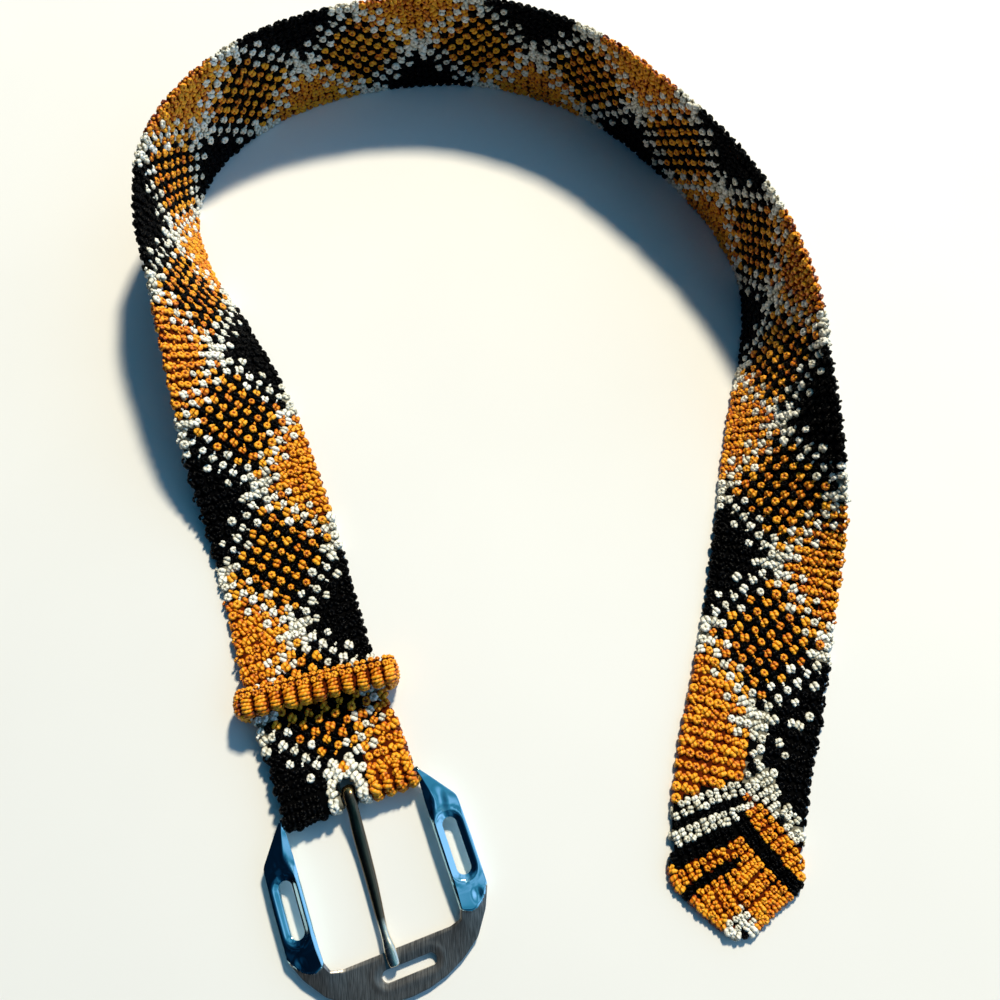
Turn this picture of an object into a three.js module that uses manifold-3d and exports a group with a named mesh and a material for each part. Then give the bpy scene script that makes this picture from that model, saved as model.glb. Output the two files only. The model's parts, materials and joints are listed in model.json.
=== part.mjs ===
import * as THREE from 'three';
import { mergeVertices } from 'three/addons/utils/BufferGeometryUtils.js';
import Module from 'manifold-3d';

// A knotted cord belt laid down in a loop: flat beside its buckle and at its pointed tip, and
// standing on its inner edge round the far side. Millimetres, +Z up, resting on z = 0.
const wasm = await Module();
wasm.setup();

// Knotted band
const bandWidth = 42;
const bandThickness = 3;
const bandEdgeThickness = 2.3;
const bandStep = 4;
const bandFacets = 4;
const tipBandWidth = 40;
const tipTaper = 80;
const tipLength = 17;
const tipEndWidth = 3;
const tipCurve = 1.35;

// Fold of the band round the buckle's bar
const barRadius = 1.3;
const runningGap = 0.3;
const foldRadius = 4;
const turnBackLength = 22;
const foldSink = 0.15;
const foldOffset = -0.1;
const foldHandles = { farY: 13, farZ: 6, nearY: 6.4, nearZ: 7.9 };
const prongSlotWidth = 5.2;
const prongSlotEnd = 6.4;

// Keeper loop behind the buckle
const keeperThickness = 2.6;
const keeperLength = 8.4;
const keeperDistance = 34.6;
const keeperOffset = -0.3;
const keeperSkew = -7.6;

// Buckle, seen from above with its bar along X and its front towards -Y
const buckleX = -51.68;
const buckleY = 16.68;
const buckleTurn = 17;
const plateThickness = 1.8;
const barHalfLength = 22.3;
const sideSlot = { x: 26, y: -24.8, length: 17.2, width: 4.4 };
const frontSlot = { x: 1.6, y: -51.7, length: 17, width: 3.6 };
const cutterBottom = -5;
const cutterTop = 15;

// Prong
const prongWidth = 3.8;
const prongThickness = 2;
const eyeRounding = 0.6;

// Straight pieces in each round stretch, and vertices closer than weldDistance are one
const roundSegments = { fold: 12, keeper: 6, slot: 8, bar: 20, eye: 28, armSection: 5, armLength: 30 };
const weldDistance = 1e-4;

// The band from its fold to the tip: x and y place its inner edge on the surface, lean turns the
// band up about that edge (0 lies flat, 90 stands upright) and lift raises the edge.
const bandSections = [
  { x: -34.8, y: 32.3, lean: 0, lift: 2.9 },
  { x: -40.3, y: 48.5, lean: 0, lift: 2.9 },
  { x: -45.3, y: 64.5, lean: 0, lift: 2.9 },
  { x: -51.4, y: 86.0, lean: 0, lift: 0 },
  { x: -57.2, y: 108.0, lean: 0, lift: 0 },
  { x: -65.0, y: 132.0, lean: 10, lift: 0 },
  { x: -75.0, y: 157.0, lean: 31, lift: 0 },
  { x: -91.5, y: 187.0, lean: 54, lift: 0 },
  { x: -107.0, y: 213.5, lean: 71, lift: 0 },
  { x: -112.6, y: 237.0, lean: 81, lift: 0 },
  { x: -104.5, y: 261.0, lean: 86, lift: 0 },
  { x: -79.0, y: 283.5, lean: 87, lift: 0 },
  { x: -41.5, y: 295.5, lean: 88, lift: 0 },
  { x: 3.5, y: 294.5, lean: 88, lift: 0 },
  { x: 41.5, y: 277.5, lean: 88, lift: 0 },
  { x: 69.0, y: 249.5, lean: 88, lift: 0 },
  { x: 89.5, y: 216.5, lean: 86, lift: 0 },
  { x: 96.4, y: 189.0, lean: 80, lift: 0 },
  { x: 92.5, y: 163.5, lean: 65, lift: 0 },
  { x: 84.6, y: 139.5, lean: 49, lift: 0 },
  { x: 77.6, y: 116.0, lean: 30, lift: 0 },
  { x: 71.4, y: 93.5, lean: 10, lift: 0 },
  { x: 65.0, y: 70.0, lean: 0, lift: 0 },
  { x: 57.4, y: 45.5, lean: 0, lift: 0 },
  { x: 49.2, y: 20.5, lean: 0, lift: 0 },
  { x: 43.5, y: -4.5, lean: 0, lift: 0 },
  { x: 41.4, y: -28.5, lean: 0, lift: 0 },
];

// The keeper's outside, seen along the band: low at the outer edge, high at the inner edge.
const keeperCorners = [
  { x: -25.6, z: 0, radius: 3.4 },
  { x: 25.2, z: 0, radius: 3.4 },
  { x: 28.0, z: 14.6, radius: 6 },
  { x: -26.0, z: 12.4, radius: 6 },
];

// Half of the buckle's plate, from the point beside the bar to the middle of the front. lip is
// how far the inner edge drops below the crest beside it.
const plateSections = [
  { innerX: 21.4, innerY: -0.2, outerX: 22.6, outerY: 0, crestZ: 5.6, outerZ: 5.4, lip: 0.3 },
  { innerX: 21.4, innerY: -2.4, outerX: 24.7, outerY: -2.6, crestZ: 5.7, outerZ: 5.1, lip: 0.5 },
  { innerX: 21.1, innerY: -10.0, outerX: 30.9, outerY: -10.9, crestZ: 5.7, outerZ: 4.0, lip: 0.8 },
  { innerX: 21.1, innerY: -24.0, outerX: 31.1, outerY: -24.0, crestZ: 5.7, outerZ: 3.9, lip: 0.8 },
  { innerX: 21.1, innerY: -37.0, outerX: 31.0, outerY: -38.0, crestZ: 5.5, outerZ: 3.7, lip: 0.8 },
  { innerX: 21.0, innerY: -41.8, outerX: 28.2, outerY: -44.2, crestZ: 4.7, outerZ: 3.1, lip: 0.6 },
  { innerX: 20.0, innerY: -44.4, outerX: 23.4, outerY: -50.8, crestZ: 3.7, outerZ: 2.4, lip: 0.4 },
  { innerX: 16.6, innerY: -45.3, outerX: 17.2, outerY: -54.9, crestZ: 2.9, outerZ: 1.9, lip: 0.3 },
  { innerX: 11.0, innerY: -45.3, outerX: 11.4, outerY: -57.4, crestZ: 2.5, outerZ: 1.8, lip: 0.2 },
  { innerX: 5.5, innerY: -45.3, outerX: 5.7, outerY: -58.8, crestZ: 2.4, outerZ: 1.8, lip: 0.2 },
  { innerX: 0, innerY: -45.3, outerX: 0, outerY: -59.2, crestZ: 2.4, outerZ: 1.8, lip: 0.2 },
];

// Where the plate's corners lie across it, as shares from its inner edge to its outer edge. The
// crest is the second.
const plateShares = [0, 0.14, 0.42, 0.71, 1];
const crestShare = plateShares[1];

// The middle of the prong's arm, from the top of its eye to its tip on the front bar.
const prongLine = [
  { y: 0, z: 6.6 },
  { y: -4, z: 6.2 },
  { y: -8, z: 4.5 },
  { y: -12.5, z: 3.1 },
  { y: -20, z: 2.6 },
  { y: -36, z: 2.6 },
  { y: -42, z: 3.1 },
  { y: -45.5, z: 3.6 },
  { y: -49.8, z: 3.6 },
];

const buckleMatrix = new THREE.Matrix4()
  .makeRotationZ(THREE.MathUtils.degToRad(buckleTurn))
  .setPosition(buckleX, buckleY, 0);

// A closed solid from a geometry, and a geometry back from a solid.
function toSolid(geometry) {
  const bare = geometry.clone();
  bare.deleteAttribute('normal');
  bare.deleteAttribute('uv');
  const merged = mergeVertices(bare, weldDistance);
  const vertProperties = new Float32Array(merged.attributes.position.array);
  const triVerts = new Uint32Array(merged.index.array);
  return new wasm.Manifold(new wasm.Mesh({ numProp: 3, vertProperties, triVerts }));
}

function toGeometry(solid) {
  const mesh = solid.getMesh();
  const geometry = new THREE.BufferGeometry();
  geometry.setAttribute('position', new THREE.BufferAttribute(mesh.vertProperties, 3));
  geometry.setIndex(new THREE.BufferAttribute(mesh.triVerts, 1));
  geometry.computeVertexNormals();
  return geometry;
}

// Moves each corner of a finely divided box to the place that a rule gives for its fractions
// across, along and through the box, each from 0 to 1.
function bentBox(acrossSteps, alongSteps, place) {
  const geometry = new THREE.BoxGeometry(1, 1, 1, acrossSteps, alongSteps, 1);
  const corners = geometry.attributes.position;
  for (let i = 0; i < corners.count; i += 1) {
    const along = THREE.MathUtils.clamp(corners.getY(i) + 0.5, 0, 1);
    const point = place(corners.getX(i) + 0.5, along, corners.getZ(i) + 0.5);
    corners.setXYZ(i, point.x, point.y, point.z);
  }
  return geometry;
}

// A shape drawn in Y and Z and pulled out along X, centred on x = 0.
function extrudeAcross(shape, width, curveSegments) {
  const settings = { depth: width, bevelEnabled: false, curveSegments };
  const geometry = new THREE.ExtrudeGeometry(shape, settings).translate(0, 0, -width / 2);
  const turn = new THREE.Matrix4().makeBasis(
    new THREE.Vector3(0, 1, 0),
    new THREE.Vector3(0, 0, 1),
    new THREE.Vector3(1, 0, 0),
  );
  return geometry.applyMatrix4(turn);
}

// A value between two rows of a table, with a level start and end at each row.
function blend(rows, key, position) {
  const row = Math.min(Math.floor(position), rows.length - 2);
  const share = THREE.MathUtils.smoothstep(position - row, 0, 1);
  return THREE.MathUtils.lerp(rows[row][key], rows[row + 1][key], share);
}

const innerEdge = new THREE.CatmullRomCurve3(
  bandSections.map((row) => new THREE.Vector3(row.x, row.y, 0)),
  false,
  'centripetal',
);

// Lean eased along the table by a curve of its own, so that the band turns up smoothly.
const leanCurve = new THREE.SplineCurve(
  bandSections.map((row, index) => new THREE.Vector2(index, row.lean)),
);

// The band's half width at a distance from its tip: full, then a little narrower, then rounded
// in to a blunt point.
function halfWidthAt(distanceToTip) {
  const fullness = THREE.MathUtils.smoothstep(distanceToTip, 0, tipTaper);
  const width = THREE.MathUtils.lerp(tipBandWidth, bandWidth, fullness);
  const share = THREE.MathUtils.clamp(distanceToTip / tipLength, 0, 1);
  return THREE.MathUtils.lerp(tipEndWidth, width, 1 - (1 - share) ** tipCurve) / 2;
}

function bandPoint(across, along, through) {
  const curvePlace = innerEdge.getUtoTmapping(along);
  const row = curvePlace * (bandSections.length - 1);
  const edge = innerEdge.getPoint(curvePlace);
  const travel = innerEdge.getTangent(curvePlace);
  const outward = new THREE.Vector3(-travel.y, travel.x, 0);
  const lean = THREE.MathUtils.degToRad(Math.max(leanCurve.getPoint(curvePlace).y, 0));
  const wide = outward.clone().multiplyScalar(Math.cos(lean));
  wide.z = Math.sin(lean);
  const face = outward.clone().multiplyScalar(-Math.sin(lean));
  face.z = Math.cos(lean);
  const side = 1 - 2 * across;
  const halfWidth = halfWidthAt((1 - along) * innerEdge.getLength());
  const height = THREE.MathUtils.lerp(bandThickness, bandEdgeThickness, side ** 4);
  const rise = through * height;
  edge.z = blend(bandSections, 'lift', row);
  edge.addScaledVector(wide, bandWidth / 2 + side * halfWidth);
  edge.addScaledVector(face, rise);
  return edge;
}

// Side view of the doubled end: round the bar, then two layers as far as the turn-back reaches,
// where its top sinks just under the band's face.
function foldShape() {
  const { farY, farZ, nearY, nearZ } = foldHandles;
  const shape = new THREE.Shape();
  shape.moveTo(turnBackLength, 0);
  shape.lineTo(turnBackLength, bandSections[0].lift + bandThickness - foldSink);
  shape.bezierCurveTo(farY, farZ, nearY, nearZ, 0, foldRadius * 2);
  shape.absarc(0, foldRadius, foldRadius, Math.PI / 2, (Math.PI * 3) / 2, false);
  const bore = new THREE.Path();
  bore.absarc(0, foldRadius, barRadius + runningGap, 0, Math.PI * 2, true);
  shape.holes.push(bore);
  return shape;
}

function makeStrap() {
  const alongSteps = Math.round(innerEdge.getLength() / bandStep);
  const band = toSolid(bentBox(bandFacets, alongSteps, bandPoint));
  const fold = extrudeAcross(foldShape(), bandWidth, roundSegments.fold);
  fold.translate(foldOffset, 0, 0).applyMatrix4(buckleMatrix);
  const slot = new THREE.BoxGeometry(prongSlotWidth, foldRadius * 2 + prongSlotEnd, foldRadius * 4);
  slot.translate(0, prongSlotEnd / 2 - foldRadius, foldRadius).applyMatrix4(buckleMatrix);
  return toGeometry(band.add(toSolid(fold)).subtract(toSolid(slot)));
}

// The outline through a list of corners, moved in by an inset and rounded at each corner.
function roundedOutline(corners, inset, target) {
  const points = corners.map((corner, index) => insetCorner(corners, index, inset));
  points.forEach((point, index) => {
    const before = points[(index + points.length - 1) % points.length];
    const after = points[(index + 1) % points.length];
    const radius = corners[index].radius - inset / 2;
    const inward = before.clone().sub(point).setLength(radius).add(point);
    const onward = after.clone().sub(point).setLength(radius).add(point);
    if (index === 0) {
      target.moveTo(inward.x, inward.y);
    } else {
      target.lineTo(inward.x, inward.y);
    }
    target.quadraticCurveTo(point.x, point.y, onward.x, onward.y);
  });
  target.closePath();
  return target;
}

function insetCorner(corners, index, inset) {
  const here = new THREE.Vector2(corners[index].x, corners[index].z);
  const before = corners[(index + corners.length - 1) % corners.length];
  const after = corners[(index + 1) % corners.length];
  const back = new THREE.Vector2(before.x, before.z).sub(here).normalize();
  const on = new THREE.Vector2(after.x, after.z).sub(here).normalize();
  const reach = inset / Math.sin(Math.acos(back.dot(on)));
  return here.addScaledVector(back, reach).addScaledVector(on, reach);
}

function makeKeeper() {
  const shape = roundedOutline(keeperCorners, 0, new THREE.Shape());
  shape.holes.push(roundedOutline(keeperCorners, keeperThickness, new THREE.Path()));
  const geometry = new THREE.ExtrudeGeometry(shape, {
    depth: keeperLength,
    bevelEnabled: false,
    curveSegments: roundSegments.keeper,
  });
  geometry.translate(0, 0, -keeperLength / 2);
  return geometry.rotateX(Math.PI / 2);
}

// A corner of the buckle's plate. along runs from the left point beside the bar, round the front,
// to the right point, so the table is read forwards and then backwards.
function platePoint(across, along, through) {
  const last = plateSections.length - 1;
  const row = Math.round(along * last * 2);
  const section = plateSections[row <= last ? row : last * 2 - row];
  const side = row <= last ? -1 : 1;
  const column = Math.round(across * (plateShares.length - 1));
  const share = plateShares[column];
  const slope = THREE.MathUtils.clamp((share - crestShare) / (1 - crestShare), 0, 1);
  const drop = column === 0 ? section.lip : 0;
  const top = THREE.MathUtils.lerp(section.crestZ, section.outerZ, slope) - drop;
  return new THREE.Vector3(
    side * THREE.MathUtils.lerp(section.innerX, section.outerX, share),
    THREE.MathUtils.lerp(section.innerY, section.outerY, share),
    top - (1 - through) * plateThickness,
  );
}

// A round-ended slot cut straight down, with its length along Y.
function slotCutter(length, width) {
  const shape = new THREE.Shape();
  const straight = (length - width) / 2;
  shape.absarc(0, straight, width / 2, 0, Math.PI, false);
  shape.absarc(0, -straight, width / 2, Math.PI, Math.PI * 2, false);
  shape.closePath();
  const settings = {
    depth: cutterTop - cutterBottom,
    bevelEnabled: false,
    curveSegments: roundSegments.slot,
  };
  return new THREE.ExtrudeGeometry(shape, settings).translate(0, 0, cutterBottom);
}

function makeFrame() {
  const plate = toSolid(bentBox(plateShares.length - 1, (plateSections.length - 1) * 2, platePoint));
  const bar = new THREE.CylinderGeometry(barRadius, barRadius, barHalfLength * 2, roundSegments.bar);
  bar.rotateZ(Math.PI / 2).translate(0, 0, foldRadius);
  const front = slotCutter(frontSlot.length, frontSlot.width).rotateZ(Math.PI / 2);
  let solid = plate.add(toSolid(bar));
  solid = solid.subtract(toSolid(front.translate(frontSlot.x, frontSlot.y, 0)));
  for (const side of [-1, 1]) {
    const cutter = slotCutter(sideSlot.length, sideSlot.width);
    solid = solid.subtract(toSolid(cutter.translate(side * sideSlot.x, sideSlot.y, 0)));
  }
  return toGeometry(solid);
}

// The eye is a flat ring turned round the bar, and the arm leaves it along its top.
function makeProng() {
  const inner = barRadius + runningGap;
  const outer = inner + prongThickness;
  const half = prongWidth / 2;
  const profile = [
    new THREE.Vector2(inner, -half),
    new THREE.Vector2(outer - eyeRounding, -half),
    new THREE.Vector2(outer, eyeRounding - half),
    new THREE.Vector2(outer, half - eyeRounding),
    new THREE.Vector2(outer - eyeRounding, half),
    new THREE.Vector2(inner, half),
    new THREE.Vector2(inner, -half),
  ];
  const eye = new THREE.LatheGeometry(profile, roundSegments.eye);
  eye.rotateZ(Math.PI / 2).translate(0, 0, foldRadius);
  const path = new THREE.CatmullRomCurve3(prongLine.map((row) => new THREE.Vector3(0, row.y, row.z)));
  const section = new THREE.Shape();
  section.absellipse(0, 0, half, prongThickness / 2, 0, Math.PI * 2, false);
  const arm = new THREE.ExtrudeGeometry(section, {
    steps: roundSegments.armLength,
    extrudePath: path,
    curveSegments: roundSegments.armSection,
  });
  return toGeometry(toSolid(eye).add(toSolid(arm)));
}

function namedMesh(name, geometry, color, roughness, metalness) {
  const mesh = new THREE.Mesh(geometry, new THREE.MeshStandardMaterial({ color, roughness, metalness }));
  mesh.name = name;
  return mesh;
}

const strap = namedMesh('strap', makeStrap(), 0x3a2c1c, 0.7, 0);
const keeper = namedMesh('keeper', makeKeeper(), 0xe0911c, 0.65, 0);
const frame = namedMesh('buckle_frame', makeFrame(), 0xb9c2ca, 0.15, 1);
const prong = namedMesh('prong', makeProng(), 0x8d8a84, 0.25, 1);

keeper.position.set(keeperOffset, keeperDistance, 0);
keeper.rotation.z = THREE.MathUtils.degToRad(keeperSkew);

const buckle = new THREE.Group();
buckle.position.set(buckleX, buckleY, 0);
buckle.rotation.z = THREE.MathUtils.degToRad(buckleTurn);
buckle.add(frame, prong, keeper);

// The belt's reference point is the middle of its box, on the surface.
const belt = new THREE.Group();
belt.add(strap, buckle);
const bounds = new THREE.Box3().setFromObject(belt, true);
const middle = bounds.getCenter(new THREE.Vector3());
belt.position.set(-middle.x, -middle.y, -bounds.min.z);

const root = new THREE.Group();
root.add(belt);

export default root;
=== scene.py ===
import json
import math

import bpy
import numpy as np
from mathutils import Matrix, Vector


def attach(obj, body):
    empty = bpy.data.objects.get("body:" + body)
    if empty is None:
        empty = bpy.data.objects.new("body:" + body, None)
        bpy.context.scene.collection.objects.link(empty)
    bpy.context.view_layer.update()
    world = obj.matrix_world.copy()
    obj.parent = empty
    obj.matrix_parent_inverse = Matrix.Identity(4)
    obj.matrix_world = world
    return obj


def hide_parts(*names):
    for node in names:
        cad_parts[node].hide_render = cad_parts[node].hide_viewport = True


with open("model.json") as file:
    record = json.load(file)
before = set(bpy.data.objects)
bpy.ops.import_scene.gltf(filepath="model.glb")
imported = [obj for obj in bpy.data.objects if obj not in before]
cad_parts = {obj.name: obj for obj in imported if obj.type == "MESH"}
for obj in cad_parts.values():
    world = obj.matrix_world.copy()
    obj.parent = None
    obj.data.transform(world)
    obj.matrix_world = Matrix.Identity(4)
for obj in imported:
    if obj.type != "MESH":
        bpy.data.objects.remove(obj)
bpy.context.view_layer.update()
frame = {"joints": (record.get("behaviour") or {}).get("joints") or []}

# A knotted cord belt lying in an open loop. The dictionaries are in millimetres and degrees, and
# places on the buckle are seen from above, with its bar along x and its front towards -y.
mm = 0.001
barMiddle = np.array(frame["joints"][0]["pos_m"]) / mm
barFoot = np.array([*barMiddle[:2], 0])
floorGap = 0.03  # no knot goes lower than this
chance = np.random.default_rng(11)
print("frame loaded")


# Small helpers

def clearSelection():
    if bpy.context.mode != "OBJECT":
        bpy.ops.object.mode_set(mode="OBJECT")
    bpy.ops.object.select_all(action="DESELECT")


def pick(piece):  # selects this piece alone
    clearSelection()
    bpy.context.view_layer.objects.active = piece
    piece.select_set(True)


def applyModifier(piece, kind, **settings):
    pick(piece)
    modifier = piece.modifiers.new(kind.lower(), kind)
    for key, value in settings.items():
        setattr(modifier, key, value)
    bpy.ops.object.modifier_apply(modifier=modifier.name)


def settle(piece):  # the piece's place goes into its mesh
    pick(piece)
    bpy.ops.object.transform_apply(location=True, rotation=True, scale=True)


def faceOutward(piece):
    pick(piece)
    bpy.ops.object.mode_set(mode="EDIT")
    bpy.ops.mesh.select_all(action="SELECT")
    bpy.ops.mesh.normals_make_consistent(inside=False)
    bpy.ops.object.mode_set(mode="OBJECT")


def smoothByAngle(piece):
    pick(piece)
    bpy.ops.object.shade_smooth_by_angle(angle=math.radians(32))


def pointsOf(piece):
    return np.array([v.co for v in piece.data.vertices])


def movePoints(piece, points):
    piece.data.vertices.foreach_set("co", (points * mm).astype(np.float32).ravel())
    piece.data.update()


def dress(piece, body, node):
    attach(piece, body)
    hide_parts(node)


def smoothstep(value, low, high):
    share = np.clip((value - low) / (high - low), 0, 1)
    return share * share * (3 - 2 * share)


def between(value, low, high):
    return (value > low) & (value < high)


def unit(vectors):
    return vectors / np.linalg.norm(vectors, axis=-1, keepdims=True)


def lengthAlong(path):  # how far along a path each of its points lies
    return np.concatenate([[0], np.cumsum(np.linalg.norm(np.diff(path, axis=0), axis=1))])


def readAlong(d, length, values):  # every column of values at the distance d
    return np.stack([np.interp(d, length, column) for column in values.T], axis=-1)


def turnedBy(degrees):  # a turn seen from above
    return np.array(Matrix.Rotation(math.radians(degrees), 3, "Z"))


# Materials are put together from nodes with these

def newMaterial(name, color, roughness, metallic=0.0):
    material = bpy.data.materials.new(name)
    material.use_nodes = True
    shader = material.node_tree.nodes["Principled BSDF"]
    shader.inputs["Base Color"].default_value = (*color, 1)
    shader.inputs["Roughness"].default_value = roughness
    shader.inputs["Metallic"].default_value = metallic
    return material, material.node_tree, shader


def addNode(tree, kind, inputs=None, **settings):
    node = tree.nodes.new(kind)
    for key, value in settings.items():
        setattr(node, key, value)
    for key, value in (inputs or {}).items():
        if isinstance(value, bpy.types.NodeSocket):
            tree.links.new(value, node.inputs[key])
        else:
            node.inputs[key].default_value = value
    return node


def mathNode(tree, operation, *values):
    return addNode(tree, "ShaderNodeMath", dict(enumerate(values)), operation=operation).outputs[0]


def rangeNode(tree, value, fromLow, fromHigh, toLow=0.0, toHigh=1.0):
    inputs = {"Value": value, "From Min": fromLow, "From Max": fromHigh, "To Min": toLow, "To Max": toHigh}
    return addNode(tree, "ShaderNodeMapRange", inputs).outputs["Result"]


def noiseNode(tree, place, scale, detail):
    inputs = {"Vector": place, "Scale": scale, "Detail": detail}
    return addNode(tree, "ShaderNodeTexNoise", inputs).outputs["Fac"]


def objectPlace(tree):
    return addNode(tree, "ShaderNodeTexCoord").outputs["Object"]


def roughen(tree, shader, height, distance, strength=1.0):
    bump = addNode(tree, "ShaderNodeBump", {"Height": height, "Distance": distance, "Strength": strength})
    tree.links.new(bump.outputs["Normal"], shader.inputs["Normal"])


def colorRamp(tree, factor, stops):
    ramp = addNode(tree, "ShaderNodeValToRGB", {"Fac": factor})
    elements = ramp.color_ramp.elements
    while len(elements) < len(stops):
        elements.new(0.5)
    for element, (place, color) in zip(elements, stops):
        element.position = place
        element.color = (*color, 1)
    return ramp.outputs["Color"]


def mixColors(tree, share, first, second):
    mix = addNode(tree, "ShaderNodeMix", {0: share, 6: first, 7: second}, data_type="RGBA")
    return mix.outputs[2]


# Camera, light and floor

# bar is where the bar's middle lies, seen from the point on the floor under the camera
shot = {"bar": (-51.68, 16.68), "height": 309.0, "tilt": 19.9, "roll": -3.6, "lens": 34.2, "sensor": 36.0}
underCamera = barMiddle[:2] - shot["bar"]


def addCamera():
    data = bpy.data.cameras.new("camera")
    data.lens = shot["lens"]
    data.sensor_width = shot["sensor"]
    data.clip_start = 0.01
    camera = bpy.data.objects.new("camera", data)
    bpy.context.scene.collection.objects.link(camera)
    tilt = Matrix.Rotation(math.radians(shot["tilt"]), 4, "X")
    roll = Matrix.Rotation(math.radians(shot["roll"]), 4, "Z")
    place = Vector((*underCamera, shot["height"]))
    camera.matrix_world = Matrix.Translation(place * mm) @ tilt @ roll
    bpy.context.scene.camera = camera


light = {
    "keyFrom": (1000.0, 2100.0, 2460.0), "keySize": 330.0, "keyWatts": 164.0, "keyColor": (1.0, 0.89, 0.68),
    # the room's colour from its dark side to its bright side, in soft patches
    "room": [(0.0, (0.0006, 0.001, 0.003)), (0.24, (0.001, 0.007, 0.018)), (0.38, (0.0035, 0.03, 0.07)),
             (0.52, (0.018, 0.10, 0.175)), (0.67, (0.058, 0.25, 0.385)), (0.86, (0.43, 0.66, 1.0))],
    "roomSide": (0.85, 0.35, 0.0), "roomStrength": 1.3,
    "patchSize": 2.6, "patchFrom": 0.25, "patchTo": 0.75, "patchReach": 0.34,
}


def addKeyLight():
    data = bpy.data.lights.new("key", "AREA")
    data.size = light["keySize"] * mm
    data.energy = light["keyWatts"]
    data.color = light["keyColor"]
    lamp = bpy.data.objects.new("key", data)
    bpy.context.scene.collection.objects.link(lamp)
    place = Vector(light["keyFrom"])
    aim = (-place).to_track_quat("-Z", "Y").to_matrix().to_4x4()
    lamp.matrix_world = Matrix.Translation(place * mm) @ aim


def addWorld():
    world = bpy.data.worlds.new("studio")
    bpy.context.scene.world = world
    world.use_nodes = True
    tree = world.node_tree
    background = tree.nodes["Background"]
    place = addNode(tree, "ShaderNodeTexCoord").outputs["Generated"]
    side = addNode(tree, "ShaderNodeVectorMath", {0: place, 1: light["roomSide"]}, operation="DOT_PRODUCT")
    patches = noiseNode(tree, place, light["patchSize"], 1.0)
    reach = light["patchReach"]
    shift = rangeNode(tree, patches, light["patchFrom"], light["patchTo"], -reach, reach)
    share = rangeNode(tree, mathNode(tree, "ADD", side.outputs["Value"], shift), -1.0, 1.0)
    tree.links.new(colorRamp(tree, share, light["room"]), background.inputs["Color"])
    background.inputs["Strength"].default_value = light["roomStrength"]


floorLook = {"color": (0.86, 0.86, 0.85), "size": 3000.0, "roughness": 0.75, "dim": 0.965, "patches": 7.0}


def addFloor():
    clearSelection()
    bpy.ops.mesh.primitive_plane_add(size=floorLook["size"] * mm, location=(0, 0, 0))
    floor = bpy.context.object
    floor.name = "floor"
    pale = floorLook["color"]
    dim = tuple(floorLook["dim"] * value for value in pale)
    material, tree, shader = newMaterial("paleFloor", pale, floorLook["roughness"])
    patches = noiseNode(tree, objectPlace(tree), floorLook["patches"], 3.0)
    tree.links.new(colorRamp(tree, patches, [(0.35, dim), (0.65, pale)]), shader.inputs["Base Color"])
    floor.data.materials.append(material)


addCamera()
addKeyLight()
addWorld()
addFloor()
bpy.context.scene.view_settings.view_transform = "Standard"
print("camera, light and floor")


# The cord's colours. Each ramp runs from painted shade low in the grooves to a painted highlight on the tops,
# and core is a darker copy of the cord colour, painted shade for the gaps between knots.

cordLooks = {
    "ochre": {
        "shadeToHighlight": [(0.08, (0.10, 0.009, 0.0005)), (0.40, (0.66, 0.145, 0.002)), (0.82, (0.95, 0.42, 0.018))],
        "roughness": 0.42, "gloss": 0.3, "core": (0.13, 0.016, 0.001),
    },
    "black": {
        "shadeToHighlight": [(0.1, (0.0002, 0.0002, 0.0003)), (0.6, (0.0006, 0.0006, 0.0008)),
                   (0.95, (0.0016, 0.0016, 0.002))],
        "roughness": 0.34, "gloss": 0.045, "core": (0.0005, 0.0005, 0.0007),
    },
    "cream": {
        "shadeToHighlight": [(0.1, (0.30, 0.27, 0.19)), (0.5, (0.74, 0.71, 0.58)), (0.9, (0.95, 0.94, 0.86))],
        "roughness": 0.5, "gloss": 0.3, "core": (0.26, 0.24, 0.18),
    },
}
# the strands' wave bumps the cord, and its color value darkens and lightens the colour along the strands:
# painted shade between them
twist = {"pitch": 0.80, "height": 0.00016, "strength": 0.7, "tone": 0.34, "color": 0.13}


def cordMaterial(name, look):
    material, tree, shader = newMaterial(name, look["shadeToHighlight"][-1][1], look["roughness"])
    shader.inputs["Specular IOR Level"].default_value = look["gloss"]
    tone, rise = (addNode(tree, "ShaderNodeAttribute", attribute_name=key).outputs["Fac"]
                  for key in ("tone", "rise"))
    # strands that wind round the cord
    cordMap = addNode(tree, "ShaderNodeUVMap", uv_map="cord").outputs["UV"]
    split = addNode(tree, "ShaderNodeSeparateXYZ", {0: cordMap})
    along = mathNode(tree, "MULTIPLY", split.outputs["X"], 1 / twist["pitch"])
    turns = mathNode(tree, "ADD", along, split.outputs["Y"])
    wave = mathNode(tree, "SINE", mathNode(tree, "MULTIPLY", turns, 2 * math.pi))
    roughen(tree, shader, wave, twist["height"], twist["strength"])
    # painted shade: darker down in the grooves and between the strands; and a random tone from knot to knot
    shift = rangeNode(tree, tone, 0.0, 1.0, -twist["tone"], twist["tone"] / 3)
    shade = mathNode(tree, "MULTIPLY_ADD", wave, twist["color"], mathNode(tree, "ADD", rise, shift))
    # the ramp runs from painted shade in the grooves to a painted highlight on the cord's top
    tree.links.new(colorRamp(tree, shade, look["shadeToHighlight"]), shader.inputs["Base Color"])
    return material


cordMaterials = {name: cordMaterial(name + "Cord", look) for name, look in cordLooks.items()}


# One knot, modelled once

knot = {
    "rings": 0.4,  # share of the knots that show as a ring
    # ring: its fourth number sets how dark the ring's hole is painted, as painted shade
    "ring": {"radius": 0.68, "cord": 0.68, "height": 0.86, "holeShade": 0.1, "wave": 0.14},
    "pair": {"half": 0.84, "rise": 0.92, "bow": 0.16, "spread": 0.54, "base": -0.10, "cord": 0.70},
    "loop": {"half": 1.00, "rise": 0.95, "bow": 0.30, "spread": 0.10, "base": -0.12, "cord": 0.60},
}


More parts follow.
